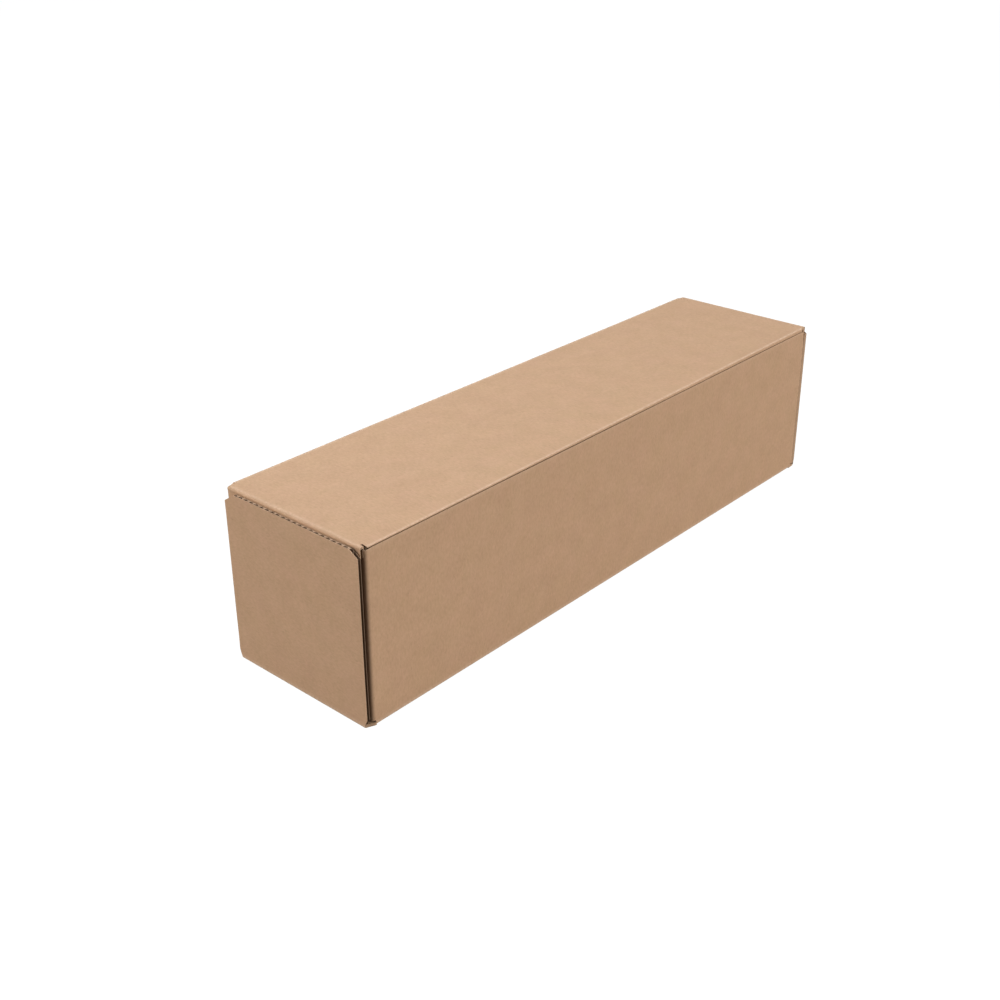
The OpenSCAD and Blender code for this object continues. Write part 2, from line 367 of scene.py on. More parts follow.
# %% [markdown]
# ## Small bends and blends
#
# Two measures are used all over: rim tells how near a point is to a line, from 0 to 1, and between
# tells how far it has come from one place to another. Real board is never quite flat, so a slow
# noise lets every panel bow by up to about a tenth of a millimetre. And the bottom corners of the
# end folds are pinched in, so that they are rounded, most of all at the near end. A panel could be
# sculpted by hand for that, but a rule can be applied to every paper of the board alike.

# %% Measures, bow and pinch
BOW, BOW_EASE = 0.10, 10
NEAR_PINCH, FAR_PINCH, PINCH_REACH, PINCH_Y = 1.8, 0.3, 4, 34


def rim(along, place, width):
    return max(1 - abs(along - place) / width, 0)


def between(value, first, last):
    return min(max((value - first) / (last - first), 0), 1)


def bow(x, y):
    beyond = max(abs(x) - END_FOOT, abs(y) - WALL_FOOT)
    return BOW * between(beyond, 0, BOW_EASE) * noise.noise(Vector((x / 75, y / 40, 4.5)))


def pinch(end, u, v):
    depth = NEAR_PINCH if end < 0 else FAR_PINCH
    return depth * rim(u, END_MIDDLE, PINCH_REACH) * between(v, PINCH_Y, HALF_W)


print("near bottom corners are rounded by", NEAR_PINCH, "mm and far ones by", FAR_PINCH, "mm")

# %% [markdown]
# ## Cutting a paper
#
# A paper starts as one flat grid. It is scored along every fold and cut line with bisect_plane, and
# the faces outside the outline are deleted, as a cutting die does. The medium gets its wave while
# it is flat, and then solidify gives each paper its thickness. A boolean could cut the outline too,
# but scoring leaves clean rows of faces along each fold, which bend without creases.

# %% Cut a paper and thicken it
WAVE = (BOARD - 2 * LINER - MEDIUM) / 2
STEPS_PER_FLUTE = 8
GRID_X, GRID_Y = 12, 11
TOUCH = 1e-4


def everything(bm):
    return bm.verts[:] + bm.edges[:] + bm.faces[:]


def score(bm, point, normal):
    bmesh.ops.bisect_plane(bm, geom=everything(bm), dist=TOUCH, plane_co=point, plane_no=normal)


def cut_between(bm, first, last):
    low = (min(first[0], last[0]), min(first[1], last[1]))
    high = (max(first[0], last[0]), max(first[1], last[1]))
    faces = []
    for face in bm.faces:
        middle = face.calc_center_median()
        if low[0] < middle.x < high[0] and low[1] < middle.y < high[1]:
            faces.append(face)
    edges = list({edge for face in faces for edge in face.edges})
    verts = list({vert for face in faces for vert in face.verts})
    normal = (last[1] - first[1], first[0] - last[0], 0)
    bmesh.ops.bisect_plane(bm, geom=verts + edges + faces, dist=TOUCH,
                           plane_co=(first[0], first[1], 0), plane_no=normal)


def wave_height(y):
    return -WAVE * math.cos(2 * math.pi * y / PITCH)


def flat_paper(blank, height, thickness, wave):
    bm = bmesh.new()
    step = PITCH / STEPS_PER_FLUTE if wave else GRID_Y
    columns = math.ceil(blank["reach_y"] / step)
    rows = math.ceil(blank["reach_x"] / GRID_X)
    bmesh.ops.create_grid(bm, x_segments=2 * rows, y_segments=2 * columns, size=1)
    size = (blank["reach_x"], columns * step, 1)
    bmesh.ops.scale(bm, vec=size, verts=bm.verts)
    for line in blank["lines_x"]:
        score(bm, (line, 0, 0), (1, 0, 0))
        score(bm, (-line, 0, 0), (1, 0, 0))
    for line in blank["lines_y"]:
        score(bm, (0, line, 0), (0, 1, 0))
    for first, last in blank["slants"]:
        cut_between(bm, first, last)
        cut_between(bm, (-first[0], first[1]), (-last[0], last[1]))
    outside = [face for face in bm.faces if not blank["keep"](face.calc_center_median())]
    bmesh.ops.delete(bm, geom=outside, context="FACES")
    if wave:
        hidden = [face for face in bm.faces if not blank["shows"](face.calc_center_median())]
        bmesh.ops.delete(bm, geom=hidden, context="FACES")
    for vert in bm.verts:
        ripple = wave_height(vert.co.y) if wave else 0
        vert.co.z = height + ripple + thickness / 2
    bmesh.ops.recalc_face_normals(bm, faces=bm.faces)
    if bm.faces and sum(face.normal.z for face in bm.faces) < 0:
        bmesh.ops.reverse_faces(bm, faces=bm.faces)
    bmesh.ops.solidify(bm, geom=bm.faces[:], thickness=thickness)
    return bm


print("wave of the medium:", WAVE, "mm each way")

# %% [markdown]
# ## Folding a paper
#
# Before a paper is folded, each face gets its material from the way it looks: up, down or sideways
# at a cut edge. The flat place of each point is kept in the attribute "blank", for the grain. Then
# the piece's own function folds the point, and says how much paler it is, from wear and painted
# highlight, or, below zero, how much painted shade darkens it, which is kept in the attribute
# "fold". The finished papers of a piece are joined into one mesh, in metres.

# %% Paint, fold and join
FACING = 0.3
SHARP_ANGLE = math.radians(40)


def paint_and_fold(bm, blank, top_paper, under_paper, edge_paper):
    bm.normal_update()
    for face in bm.faces:
        face.smooth = True
        face.material_index = edge_paper
        if face.normal.z > FACING:
            face.material_index = top_paper
        elif face.normal.z < -FACING:
            face.material_index = under_paper
    place_layer = bm.verts.layers.float_vector.new("blank")
    fold_layer = bm.verts.layers.float.new("fold")
    for vert in bm.verts:
        x, y, height = vert.co
        place = blank["place"](x, y)
        vert[place_layer] = (place[0], place[1], height)
        vert.co, vert[fold_layer] = blank["fold"](x, y, height + bow(*place))


def finish_piece(name, sheets):
    whole = bmesh.new()
    for bm in sheets:
        part = bpy.data.meshes.new("part")
        bm.to_mesh(part)
        bm.free()
        whole.from_mesh(part)
        bpy.data.meshes.remove(part)
    bmesh.ops.transform(whole, matrix=Matrix.Scale(0.001, 4), verts=whole.verts)
    mesh = bpy.data.meshes.new(name)
    whole.to_mesh(mesh)
    whole.free()
    for paper in PAPERS:
        mesh.materials.append(paper)
    mesh.set_sharp_from_angle(angle=SHARP_ANGLE)
    piece = bpy.data.objects.new(name, mesh)
    scene.collection.objects.link(piece)
    print(name, len(mesh.polygons), "faces")
    return piece


print("papers are sharp where they turn by more than", round(math.degrees(SHARP_ANGLE)), "degrees")

# %% [markdown]
# ## Crushed edges and whole boards
#
# A knife doesn't leave every flute open: it presses the liners together, and the edge looks filled.
# So an edge can have a fill between its liners, which is either whole or lies under the wave and
# leaves the outer hollows open. Its inner side can also be splayed. A whole board is then two
# liners, the medium and its fills.

# %% Fill crushed edges and join a board
FILL_STEP, FILL_ROWS = 0.3, 60


def crushed_edge(low, high, under_wave, splay):
    bm = bmesh.new()
    steps = STEPS_PER_FLUTE * math.ceil((high[1] - low[1]) / PITCH)
    rows = min(math.ceil((high[0] - low[0]) / FILL_STEP), FILL_ROWS)
    bmesh.ops.create_grid(bm, x_segments=rows, y_segments=steps, size=1)
    bmesh.ops.scale(bm, vec=((high[0] - low[0]) / 2, (high[1] - low[1]) / 2, 1), verts=bm.verts)
    bmesh.ops.translate(bm, vec=((low[0] + high[0]) / 2, (low[1] + high[1]) / 2, 0), verts=bm.verts)
    for vert in bm.verts:
        vert.co.z = wave_height(vert.co.y) if under_wave else BOARD / 2 - LINER / 2
    inner_side = bmesh.ops.extrude_face_region(bm, geom=bm.faces[:])["geom"]
    for item in inner_side:
        if isinstance(item, bmesh.types.BMVert):
            item.co.z = LINER / 2 - BOARD / 2 - splay
    bmesh.ops.recalc_face_normals(bm, faces=bm.faces)
    return bm


def board_piece(name, blank):
    outer = flat_paper(blank, BOARD / 2 - LINER / 2, LINER, False)
    paint_and_fold(outer, blank, OUTER, FLUTES, CUT)
    inner = flat_paper(blank, LINER / 2 - BOARD / 2, LINER, False)
    # The inner liner's cut edges take the darker inner paper, as painted shade where they face a slit.
    paint_and_fold(inner, blank, FLUTES, INNER, INNER)
    medium = flat_paper(blank, 0, MEDIUM, True)
    paint_and_fold(medium, blank, FLUTES, FLUTES, FLUTES)
    sheets = [outer, inner, medium]
    for low, high, under_wave in blank.get("crushed", []):
        sheets.append(crushed_edge(low, high, under_wave, blank.get("splay", 0)))
        paint_and_fold(sheets[-1], blank, FLUTES, FLUTES, CUT)
    return finish_piece(name, sheets)


print("a fill has a row every", FILL_STEP, "mm")

# %% [markdown]
# ## The tray's outline
#
# The tray is the bottom, the front and back walls, and a dust flap at each end of each wall, all
# one sheet. Half of each hinge fold stays with the tray. One function says which parts of the sheet
# the die keeps, and one where the medium is built: only near the raw edges, because nothing shows
# it elsewhere, and a little back from edges that run along the flutes. Building it all over would
# also be right, but it would cost many faces that nobody sees.

# %% Outline of the tray
DUST_HEIGHT, HALF_DUST_GAP, DUST_TAPER = 2.4, 3.5, 2.0
DUST_LOW = WALL_FOOT + DUST_HEIGHT - FOLD_T
DUST_START = CORNER_X + CORNER_LENGTH
DUST_EDGE = DUST_START + HALF_W - CORNER_IN - BOARD - HALF_DUST_GAP
STAND_BACK, MEDIUM_REACH, LOW_REACH = 2.4, 8, 6


def tray_keep(middle):
    u, v = abs(middle.x), abs(middle.y)
    if u < CORNER_X:
        hinge = middle.y > 0 and u < LID_FOLD_END
        return v < (HINGE_MIDDLE if hinge else WALL_EDGE)
    if v < HALF_W:
        return u < END_MIDDLE and (v < WALL_START or u > CORNER_X + SLIT)
    taper = DUST_TAPER * max(u - DUST_START, 0) / (DUST_EDGE - DUST_START)
    return u < DUST_EDGE and DUST_LOW + taper < v < WALL_EDGE - taper


def tray_shows(middle):
    u, v = abs(middle.x), abs(middle.y)
    if u > CORNER_X and v > HALF_W:
        inside = DUST_LOW + STAND_BACK < v < WALL_EDGE - STAND_BACK
        by_free_edge = u > DUST_EDGE - MEDIUM_REACH
        return inside and (by_free_edge or v < DUST_LOW + LOW_REACH or v > WALL_EDGE - MEDIUM_REACH)
    return 0 < WALL_EDGE - STAND_BACK + middle.y < MEDIUM_REACH


print("a dust flap is", round(DUST_EDGE - DUST_START, 1), "mm deep")

# %% [markdown]
# ## Folding the tray
#
# The walls fold up from the bottom, and the dust flaps fold in from the walls. The upright folds are
# springy, so they bulge outwards where nothing holds them in: at the far end over most of their
# height, where they are also squarer, and at the near end only in their lower half, while their
# tops are pressed in. The deep sides of the near corner creases are darkened with painted shade,
# so that the slit beside them looks nearly black. The short raw edges at the bottom's corners are
# crushed shut.

# %% Fold the tray
WORN_WIDTH = 1.6
FAR_BULGE, NEAR_BULGE, NEAR_PRESS = 1.95, 1.2, 0.55
FAR_POWER, NEAR_POWER = 0.5, 1.0
# The first value is how dark the painted shade on the deep side of the near corner creases is.
CREASE_PAINTED_SHADE, NEAR_TOP_DROP, DROP_REACH = 0.85, 0.5, 8
FILL_DEPTH = 1.5


def corner_bulge(end, u, v):
    share = between(u, CORNER_X - 30, CORNER_X) * (1 - between(u, DUST_START, DUST_START + 6))
    up = v - WALL_FOOT
    far = FAR_BULGE * (1 - between(up, 77, 79.5))
    near = NEAR_BULGE * (1 - between(up, 0, 74)) - NEAR_PRESS
    return share * (far if end > 0 else near)


# Where the near corner creases are darkened with painted shade.
def crease_shade_mask(u):
    return between(u, CORNER_X + 0.5, DUST_START) * (1 - between(u, DUST_START + 1, DUST_START + 4))


def tray_fold(x, y, height):
    end, side = math.copysign(1, x), math.copysign(1, y)
    u, v = abs(x), abs(y)
    if v <= WALL_START or (u > CORNER_X + SLIT / 2 and v <= HALF_W + 0.01):
        wear_and_painted_light = rim(u, END_MIDDLE, WORN_WIDTH)
        v -= pinch(end, u, v)
        u, height = crushed_fold(u, height, END_START)
    else:
        # Paler bottom folds are wear; the paler top edge of the front wall is partly wear, partly a
        # painted highlight.
        wear_and_painted_light = max(rim(v, WALL_MIDDLE, WORN_WIDTH), 0.5 * rim(-y, WALL_EDGE, 1.0))
        bulge = corner_bulge(end, u, v)
        # Painted shade on the deep side of the near corner creases.
        if end < 0:
            wear_and_painted_light -= CREASE_PAINTED_SHADE * crease_shade_mask(u)
        if end < 0 and side < 0:
            near_corner = between(u, CORNER_X - 1, CORNER_X + 1)
            v -= NEAR_TOP_DROP * near_corner * between(v, WALL_EDGE - DROP_REACH, WALL_EDGE)
        u, height = ring_fold(u, height, CORNER_X, NEAR_POWER if end < 0 else FAR_POWER)
        u += bulge
        if side > 0:
            wear_and_painted_light = max(wear_and_painted_light, rim(v, HINGE_MIDDLE, WORN_WIDTH))
            v, height = crushed_fold(v, height, HINGE_START)
        v, height = crushed_fold(v, height, WALL_START)
    return Vector((end * u, side * v, BOARD / 2 - height)), wear_and_painted_light


dust_slants = []
tray_fills = []
for side in (-1, 1):
    dust_slants.append(((DUST_START, side * DUST_LOW), (DUST_EDGE, side * (DUST_LOW + DUST_TAPER))))
    dust_slants.append(((DUST_START, side * WALL_EDGE), (DUST_EDGE, side * (WALL_EDGE - DUST_TAPER))))
    low_x, high_x = sorted((side * END_MIDDLE, side * (CORNER_X + SLIT)))
    tray_fills.append(((low_x, -HALF_W), (high_x, FILL_DEPTH - HALF_W), False))
    tray_fills.append(((low_x, HALF_W - FILL_DEPTH), (high_x, HALF_W), False))

wall_lines = fold_lines(WALL_START, FOLD_LENGTH, 10) + [
    HALF_W, DUST_LOW, DUST_LOW + DUST_TAPER, DUST_LOW + STAND_BACK, WALL_EDGE, WALL_EDGE - DUST_TAPER,
    WALL_EDGE - STAND_BACK, WALL_EDGE - MEDIUM_REACH]
tray_blank = {
    "reach_x": DUST_EDGE, "reach_y": HINGE_MIDDLE,
    "lines_x": fold_lines(CORNER_X, CORNER_LENGTH, 10) + fold_lines(END_START, FOLD_LENGTH / 2, 5)
    + [CORNER_X + SLIT, LID_FOLD_END, DUST_EDGE - MEDIUM_REACH],
    "lines_y": wall_lines + [-line for line in wall_lines]
    + fold_lines(HINGE_START, FOLD_LENGTH / 2, 5),
    "slants": dust_slants, "keep": tray_keep, "shows": tray_shows, "fold": tray_fold,
    "place": lambda x, y: (x, y), "crushed": tray_fills,
}
tray = board_piece("tray_board", tray_blank)
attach(tray, "tray")
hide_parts("tray")

# %% [markdown]
# ## The nose of the lid
#
# At the lid's front the board is folded back under itself a little: its crushed nose rests over the
# raw edge of the front wall, and only then does the tuck flap go down behind that wall. A plain
# round fold would leave the raw edge bare and the seam too wide. So the outer liner follows two
# Bezier curves, over the nose and back under it, the inner liner follows a short one in the crook,
# and the layers between are blended. The lid is pressed down most at its near end: there its front
# droops by up to 1.4 mm and its nose is thinner.

# %% Bend the nose
TUCK_BACK, TUCK_DEPTH, TUCK_DROP = 4.99, 25, 1.0
TUCK_LEAN = math.atan2(TUCK_BACK, TUCK_DEPTH)
NOSE_START, NOSE_LENGTH, NOSE_REACH = 37.5, 4.0, 41.35
TUCK_TOP = LID_UNDER - TUCK_DROP - (LID_UNDER + BOARD / 2)
TUCK_FRONT = LID_FRONT - TUCK_DROP * math.tan(TUCK_LEAN)
DROOP, DROOP_SLOPE, DROOP_START = 0.75, 0.0041, 20
NOSE_LOW, NOSE_ROUND, NOSE_SLOPE = -1.31, 0.55, 0.0008


def bezier(points, share):
    while len(points) > 1:
        points = [first.lerp(last, share) for first, last in zip(points, points[1:])]
    return points[0]


def droop(along, x):
    return (DROOP - DROOP_SLOPE * x) * between(along, DROOP_START, NOSE_REACH) ** 2


def nose_fold(along, height, x):
    share = min((along - NOSE_START) / NOSE_LENGTH, 1)
    if share <= 0:
        return along, height - droop(along, x)
    round_r = NOSE_ROUND + NOSE_SLOPE * x
    low = NOSE_LOW - NOSE_SLOPE * x
    high = BOARD / 2 - droop(NOSE_REACH, x)
    tip = high - 0.75 * (high - low)
    start = Vector((NOSE_START, BOARD / 2 - droop(NOSE_START, x)))
    brow = Vector((NOSE_REACH - round_r, high + 0.04))
    top_corner = Vector((NOSE_REACH, high))
    end = Vector((NOSE_REACH, tip))
    over = [brow, brow.lerp(top_corner, 0.6), end.lerp(top_corner, 0.7), end]
    under = [end, Vector((NOSE_REACH, low)), Vector((LID_FRONT - 0.05, low)),
             Vector((TUCK_FRONT, TUCK_TOP))]
    under_lid = -BOARD / 2 - droop(NOSE_START, x)
    crook = [Vector((NOSE_START, under_lid)), Vector((LID_FRONT - BOARD, under_lid)),
             Vector((LID_FRONT - BOARD, under_lid - 0.1)), Vector((TUCK_FRONT - BOARD, TUCK_TOP))]
    if share < 0.25:
        outer = start.lerp(brow, share / 0.25)
    elif share < 0.5:
        outer = bezier(over, share / 0.25 - 1)
    else:
        outer = bezier(under, share / 0.5 - 1)
    point = bezier(crook, share).lerp(outer, height / BOARD + 0.5)
    rest = max(along - NOSE_START - NOSE_LENGTH, 0)
    return point.x - rest * math.sin(TUCK_LEAN), point.y - rest * math.cos(TUCK_LEAN)


nose_tip = nose_fold(NOSE_START + NOSE_LENGTH / 2, BOARD / 2, 0)
print("nose tip:", [round(value, 2) for value in nose_tip])

# %% [markdown]
# ## The lid's outline
#
# The lid hangs on the back wall by its half of the hinge fold. Its front flap leans inwards, so
# that it clears the wall when the lid swings. At each end a narrow strip carries another tuck flap,
# which goes down between the dust flaps and the outer end flap. Small cuts at the corners part
# these flaps. In the closed box only the near front one gapes, as a tiny dark notch, and the others
# are pressed shut. The outline is cut from the flat sheet, as the tray's is.

# %% Outline of the lid
TUCK_LOW, TUCK_TAPER = 57.6, 6
TUCK_FOOT = NOSE_START + NOSE_LENGTH
TUCK_EDGE = TUCK_FOOT + (TUCK_TOP + LID_UNDER + BOARD / 2 - TUCK_LOW) / math.cos(TUCK_LEAN)
TUCK_TIP_X = LID_FOLD_END - TUCK_TAPER
LID_HINGE = HALF_W - FOLD_T
LID_HINGE_MIDDLE = LID_HINGE + FOLD_LENGTH / 2
NEAR_NOTCH, SHUT_NOTCH, NOTCH_Y = LID_FOLD_END + 1.3, LID_FOLD_END + 0.05, 38.5
STRIP_BACK, STRIP_BACK_END = 40.6, 39.4
LID_END_START = LID_END - FOLD_T
LID_END_FOOT = LID_END_START + FOLD_LENGTH
NECK, TAIL_STEP, TAIL_DEPTH, TAIL_TAPER = 3.75, 8, 33.25, 4
NECK_X = LID_END_FOOT + NECK
TAIL_STEP_X, TAIL_STEP_Y = NECK_X + BOARD, LID_HALF_W - TAIL_STEP
TAIL_EDGE, TAIL_TIP_Y = LID_END_FOOT + TAIL_DEPTH, TAIL_STEP_Y - TAIL_TAPER
LID_MEDIUM_X, TAIL_MEDIUM_Y = 154, 24


def lid_keep(middle):
    u, y = abs(middle.x), middle.y
    if u < LID_FOLD_END:
        tuck_x = LID_FOLD_END + (TUCK_TIP_X - LID_FOLD_END) * between(-y, TUCK_FOOT, TUCK_EDGE)
        return y < LID_HINGE_MIDDLE and -y < TUCK_EDGE and u < tuck_x
    if u < (NEAR_NOTCH if middle.x < 0 and y < 0 else SHUT_NOTCH):
        return abs(y) < NOTCH_Y
    side_y = LID_HALF_W - TAIL_STEP * between(u, NECK_X, TAIL_STEP_X)
    side_y += (TAIL_TIP_Y - TAIL_STEP_Y) * between(u, TAIL_STEP_X, TAIL_EDGE)
    back_y = STRIP_BACK + (STRIP_BACK_END - STRIP_BACK) * between(u, LID_FOLD_END, LID_END_START)
    return u < TAIL_EDGE and -side_y < y < min(side_y, back_y)


def lid_shows(middle):
    u, y = abs(middle.x), middle.y
    if u > NEAR_NOTCH:
        return u > TAIL_EDGE - MEDIUM_REACH or TAIL_MEDIUM_Y < abs(y) < LID_HALF_W - STAND_BACK
    return u > LID_MEDIUM_X or 0 < TUCK_EDGE - STAND_BACK + y < MEDIUM_REACH


print("flat lid with its end flaps:", round(2 * TAIL_EDGE, 1), "mm along")

# %% [markdown]
# ## Folding the lid
#
# Between the corner cuts the lid's front follows the nose and its back the hinge fold. The strips
# past the cuts only droop with the lid, less towards their ends, and their back corners drop a
# little more. The end folds swell slightly where the board is crushed. A paler band runs along the
# nose, the hinge and, more faintly, the end folds: wear, and on the nose and the end folds also a
# painted highlight. The strips' cut corners are crushed shut.

# %% Fold the lid
# Paler bands on the end folds and the nose: partly wear, partly a painted highlight.
END_WEAR_AND_HIGHLIGHT, NOSE_WEAR_AND_HIGHLIGHT_AT, NOSE_WEAR_AND_HIGHLIGHT_WIDTH = 0.4, NOSE_START + 1.15, 0.45
STRIP_EASE, BACK_DROP, SWELL = 0.6, 0.4, 0.12
FILL_IN_Y, FILL_OUT_Y = 38.6, 40.6


def lid_fold(x, y, height):
    end, u = math.copysign(1, x), abs(x)
    # The end fold's paler band is partly wear and partly a painted highlight.
    wear_and_painted_light = END_WEAR_AND_HIGHLIGHT * rim(u, LID_END_START + 0.4, 0.7)
    if u <= LID_FOLD_END + 0.01:
        # The nose's paler band is partly wear and partly a painted highlight.
        nose_wear_and_highlight = rim(-y, NOSE_WEAR_AND_HIGHLIGHT_AT, NOSE_WEAR_AND_HIGHLIGHT_WIDTH)
        wear_and_painted_light = max(wear_and_painted_light, nose_wear_and_highlight, rim(y, LID_HINGE_MIDDLE, WORN_WIDTH))
        if y < 0:
            y, height = nose_fold(-y, height, x)
            y = -y
        else:
            y, height = crushed_fold(y, height, LID_HINGE)
    else:
        height -= (1 - STRIP_EASE * between(u, LID_FOLD_END, LID_END_START)) * droop(-y, x)
        height -= BACK_DROP * between(y, 36, STRIP_BACK) ** 4
    swell = SWELL * between(u, LID_END_START - 3, LID_END_START)
    u, height = crushed_fold(u, height, LID_END_START)
    u += swell * between(height, -0.85, -0.6)
    return Vector((end * u, y, LID_UNDER + BOARD / 2 + height)), wear_and_painted_light


lid_slants = [((LID_FOLD_END, -TUCK_FOOT), (TUCK_TIP_X, -TUCK_EDGE)),
              ((LID_FOLD_END, STRIP_BACK), (LID_END_START, STRIP_BACK_END))]
for side in (-1, 1):
    lid_slants.append(((NECK_X, side * LID_HALF_W), (TAIL_STEP_X, side * TAIL_STEP_Y)))
    lid_slants.append(((TAIL_STEP_X, side * TAIL_STEP_Y), (TAIL_EDGE, side * TAIL_TIP_Y)))

tail_lines = [NOTCH_Y, STRIP_BACK, STRIP_BACK_END, LID_HALF_W, LID_HALF_W - STAND_BACK, TAIL_STEP_Y,
              TAIL_TIP_Y, TAIL_MEDIUM_Y]
lid_blank = {
    "reach_x": TAIL_EDGE, "reach_y": TUCK_EDGE,
    "lines_x": fold_lines(LID_END_START, FOLD_LENGTH, 10)
    + [LID_FOLD_END - back for back in (0, 0.8, 1.8, 3.2, 5)]
    + [TUCK_TIP_X, NEAR_NOTCH, SHUT_NOTCH, NECK_X, TAIL_STEP_X, TAIL_EDGE - MEDIUM_REACH],
    "lines_y": [-line for line in fold_lines(NOSE_START, NOSE_LENGTH, 18)]
    + fold_lines(LID_HINGE, FOLD_LENGTH / 2, 5)
    + [STAND_BACK - TUCK_EDGE, STAND_BACK + MEDIUM_REACH - TUCK_EDGE]
    + tail_lines + [-line for line in tail_lines],
    "slants": lid_slants, "keep": lid_keep, "shows": lid_shows, "fold": lid_fold,
    "place": lambda x, y: (x, HINGE_START + FOLD_LENGTH + LID_HINGE - y),
    "crushed": [((-LID_END_FOOT, -FILL_OUT_Y), (-NEAR_NOTCH - 0.1, -39), False),
                ((-LID_END_FOOT, FILL_IN_Y), (-SHUT_NOTCH, STRIP_BACK_END - 0.1), False),
                ((SHUT_NOTCH, -FILL_OUT_Y), (NECK_X, -FILL_IN_Y), False),
                ((SHUT_NOTCH, FILL_IN_Y), (LID_END_FOOT, STRIP_BACK_END - 0.1), False)],
}
lid = board_piece("lid_board", lid_blank)
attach(lid, "lid")
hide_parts("lid")

# %% [markdown]
# ## The outer end flaps
#
# Each end is closed by a flap that folds up from the bottom. Its top edge is cut straight across
# the flutes, so this is where the box shows what it is made of: two thin liners with a wave
# between them. On the near flap the knife has crushed the hollows on the inner side shut and left
# the outer ones open, one dark dot for each flute. The top corners are cut off, so that they don't
# catch on the lid. The near flap leans slightly to the front, its back edge stands in a little, and
# its inner side is darkened with painted shade near the slits. The far flap's front edge is crushed
# and splayed inwards, so it nearly closes its slit. Both are made by the same functions, which are
# told the end.

# %% Fold the end flaps
FRONT_CUT, BACK_CUT = (4.5, 2.8), (6.5, 4.2)
FLAP_MEDIUM = 12
FAR_SPLAY = 0.85
# How dark the painted shade on the near flap's inner side by the slits is.
SLIT_PAINTED_SHADE = 0.45


def flap_blank(end):
    def keep(middle):
        u, v = end * middle.x, abs(middle.y)
        width, height = FRONT_CUT if middle.y < 0 else BACK_CUT
        side_y = HALF_W - width * between(u, END_EDGE - height, END_EDGE)
        return END_MIDDLE < u < END_EDGE and v < side_y

    def shows(middle):
        u, v = end * middle.x, abs(middle.y)
        by_cut_edge = u > END_EDGE - FLAP_MEDIUM or v > HALF_W - MEDIUM_REACH
        return v < HALF_W - STAND_BACK and by_cut_edge

    half_lines = fold_lines(END_MIDDLE, FOLD_LENGTH / 2, 5) + [END_MIDDLE + PINCH_REACH]
    front_y, back_y = FRONT_CUT[0] - HALF_W, HALF_W - BACK_CUT[0]
    slants = [((END_EDGE - FRONT_CUT[1], -HALF_W), (END_EDGE, front_y)),
              ((END_EDGE - BACK_CUT[1], HALF_W), (END_EDGE, back_y))]
    edge_lines = [HALF_W, HALF_W - STAND_BACK, HALF_W - MEDIUM_REACH, front_y, -back_y]
    low, high = sorted((end * (END_EDGE - 1.0), end * (END_EDGE - 0.08)))
    crushed = [((low, front_y), (high, back_y), True)]
    if end > 0:
        crushed = [((END_FOOT, 0.05 - HALF_W), (END_EDGE - FRONT_CUT[1], 1.1 - HALF_W), False)]
    return {
        "reach_x": END_EDGE, "reach_y": HALF_W,
        "lines_x": half_lines
        + [END_EDGE - FRONT_CUT[1], END_EDGE - BACK_CUT[1], END_EDGE - FLAP_MEDIUM],
        "lines_y": edge_lines + [-line for line in edge_lines],
        "slants": slants, "keep": keep, "shows": shows, "fold": end_fold,
        "place": lambda x, y: (x, y), "crushed": crushed, "splay": FAR_SPLAY if end > 0 else 0,
    }


def end_fold(x, y, height):
    end, u = math.copysign(1, x), abs(x)
    wear_and_painted_light = rim(u, END_MIDDLE, WORN_WIDTH)
    y -= math.copysign(pinch(end, u, abs(y)), y)
    # Painted shade on the near flap's inner side, by the slits.
    if end < 0 and height < 0:
        wear_and_painted_light -= SLIT_PAINTED_SHADE * between(abs(y), 35, 39)
    if end < 0:
        foot = between(u, END_FOOT, END_FOOT + 4)
        lean = foot * 0.15 + between(u, END_FOOT + 22, END_FOOT + 70) * 0.45
        narrow = foot * 0.5 + between(u, END_FOOT, END_EDGE) * 0.4
        y -= lean + narrow * between(y, -30, 41)
    u, height = crushed_fold(u, height, END_START)
    return Vector((end * u, y, BOARD / 2 - height)), wear_and_painted_light


for name, end in (("near_end_flap", -1), ("far_end_flap", 1)):
    flap = board_piece(name + "_board", flap_blank(end))
    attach(flap, name)
    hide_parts(name)

# %% [markdown]
# ## The bridging liner at each hinge
#
# When a flap swings open, the inner liner still runs across the crease. A thin strip of it bridges
# each hinge on the inside. It is folded with the same functions as the board, in the closed pose.

# %% Bridge the hinges
BRIDGE, BRIDGE_REACH, BRIDGE_STEPS = 0.12, 4.0, 24


def bridge_piece(name, half_x, half_y, middle, across_x, fold):
    bm = bmesh.new()
    segments = (BRIDGE_STEPS, 2) if across_x else (2, BRIDGE_STEPS)
    bmesh.ops.create_grid(bm, x_segments=segments[0], y_segments=segments[1], size=1)
    bmesh.ops.scale(bm, vec=(half_x, half_y, 1), verts=bm.verts)
    bmesh.ops.translate(bm, vec=(middle[0], middle[1], -BOARD / 2), verts=bm.verts)
    bmesh.ops.solidify(bm, geom=bm.faces[:], thickness=BRIDGE)
    strip_blank = {"place": lambda x, y: (x, y), "fold": fold}
    paint_and_fold(bm, strip_blank, INNER, INNER, INNER)
    return finish_piece(name, [bm])


half_strip = FOLD_LENGTH / 2 + BRIDGE_REACH
lid_bridge = bridge_piece("lid_hinge_liner", LID_FOLD_END - 1, half_strip,
                          (0, HINGE_MIDDLE), False, tray_fold)
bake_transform(lid_bridge)
for name, end in (("near_end_flap", -1), ("far_end_flap", 1)):
    bridge = bridge_piece(name + "_liner", half_strip, HALF_W - 1,
                          (end * END_MIDDLE, 0), True, end_fold)
    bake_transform(bridge)

# %% [markdown]
# ## The white floor
#
# The box stands on plain white. A floor that is really white would throw too much light back up at
# the box. So this one is a dark matt grey to the light, and looks white only where it is seen
# directly or in a reflection. A thin matt layer in what is seen keeps a faint shadow.

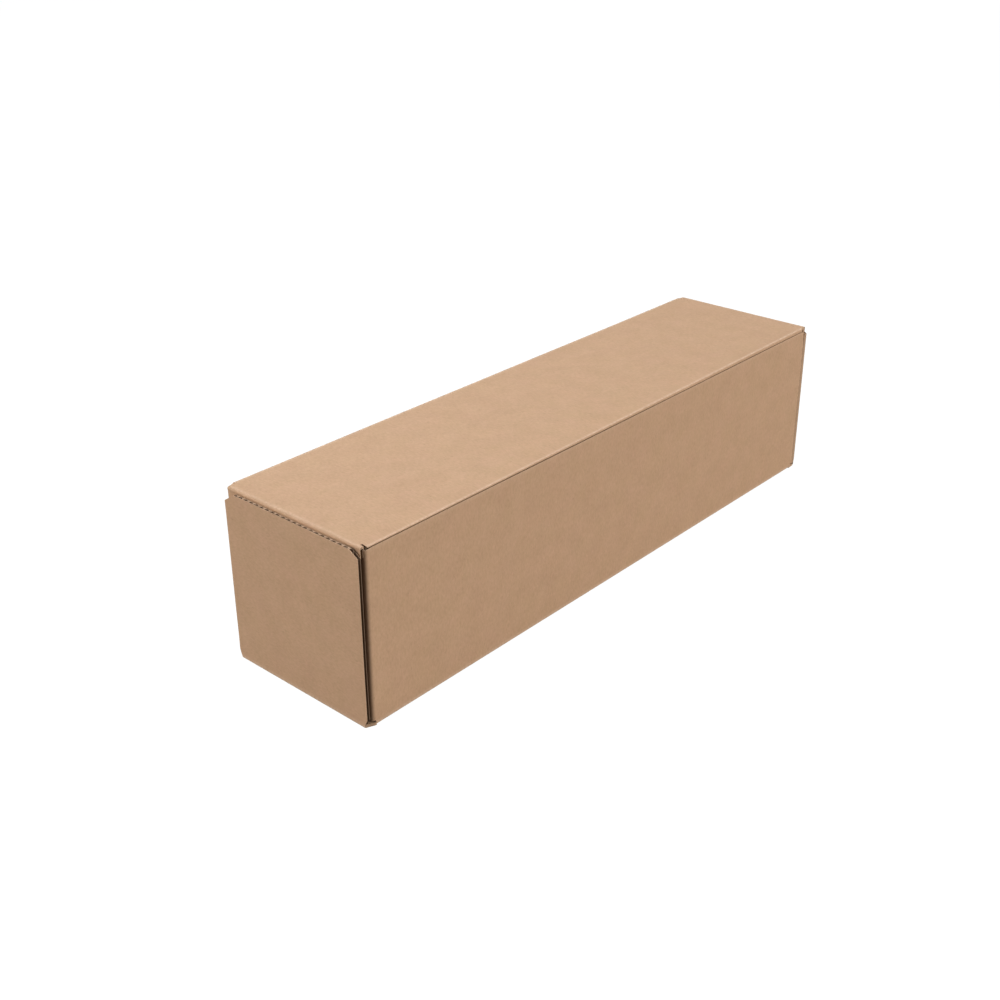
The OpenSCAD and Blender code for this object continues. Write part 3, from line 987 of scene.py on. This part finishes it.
# %% White floor
FLOOR_SIZE = 8
FLOOR_MATT = (0.20, 0.20, 0.20, 1)
FLOOR_THIN = (0.09, 0.09, 0.09, 1)
FLOOR_GLOW = 0.985

floor_mesh = bpy.data.meshes.new("floor")
bm = bmesh.new()
bmesh.ops.create_grid(bm, x_segments=1, y_segments=1, size=FLOOR_SIZE)
bm.to_mesh(floor_mesh)
bm.free()
floor = bpy.data.objects.new("floor", floor_mesh)
scene.collection.objects.link(floor)


def seen_directly(tree):
    path = add_node(tree, "ShaderNodeLightPath").outputs
    first = add_node(tree, "ShaderNodeMath", {"operation": "MAXIMUM"}, _0=path["Is Camera Ray"],
                     _1=path["Is Glossy Ray"])
    both = add_node(tree, "ShaderNodeMath", {"operation": "MAXIMUM"}, _0=first.outputs[0],
                    _1=path["Is Transmission Ray"])
    return both.outputs[0]


white = bpy.data.materials.new("white_floor")
white.use_nodes = True
tree = white.node_tree
tree.nodes.remove(tree.nodes["Principled BSDF"])
matt_floor = add_node(tree, "ShaderNodeBsdfDiffuse", Color=FLOOR_MATT)
thin_matt = add_node(tree, "ShaderNodeBsdfDiffuse", Color=FLOOR_THIN)
glow = add_node(tree, "ShaderNodeEmission", Color=(1, 1, 1, 1), Strength=FLOOR_GLOW)
seen_white = add_node(tree, "ShaderNodeAddShader", _0=thin_matt.outputs[0], _1=glow.outputs[0])
floor_mix = add_node(tree, "ShaderNodeMixShader", _0=seen_directly(tree), _1=matt_floor.outputs[0],
                     _2=seen_white.outputs[0])
tree.links.new(floor_mix.outputs[0], tree.nodes["Material Output"].inputs["Surface"])
floor_mesh.materials.append(white)
print("floor", tuple(round(side, 1) for side in floor.dimensions))

# %% [markdown]
# ## World and lamps
#
# The light is soft and comes from above: the top is the brightest side, and the front and the end
# get about two thirds of its light. Three square softboxes do that, one over the box, one far off
# to the front and one towards the near end. The world adds next to no light, and is white to look
# at. A single bright world would light all sides alike and lose the edges.

# %% World and lamps
LAMP_AIM = Vector((0, 0, 0.05))

world = bpy.data.worlds.new("studio")
scene.world = world
world.use_nodes = True
tree = world.node_tree
tree.nodes.remove(tree.nodes["Background"])
soft = add_node(tree, "ShaderNodeBackground", Color=(1, 1, 1, 1), Strength=0.02)
plain = add_node(tree, "ShaderNodeBackground", Color=(1, 1, 1, 1), Strength=1.0)
world_mix = add_node(tree, "ShaderNodeMixShader", _0=seen_directly(tree), _1=soft.outputs[0],
                     _2=plain.outputs[0])
tree.links.new(world_mix.outputs[0], tree.nodes["World Output"].inputs["Surface"])


def softbox(name, place, size, watts, colour):
    lamp_data = bpy.data.lights.new(name, "AREA")
    lamp_data.shape = "SQUARE"
    lamp_data.size = size
    lamp_data.energy = watts
    lamp_data.color = colour
    lamp = bpy.data.objects.new(name, lamp_data)
    lamp.location = place
    lamp.rotation_euler = (LAMP_AIM - lamp.location).to_track_quat("-Z", "Y").to_euler()
    scene.collection.objects.link(lamp)
    print(name, watts, "W at", place)


softbox("overhead_softbox", (-0.30, 0.30, 1.25), 0.8, 9.8, (0.90, 1.0, 1.12))
softbox("front_softbox", (3.10, -5.20, 2.30), 1.5, 300, (1.02, 1.0, 0.98))
softbox("end_softbox", (-2.40, 1.50, 1.10), 0.7, 47, (1.04, 1.0, 0.96))
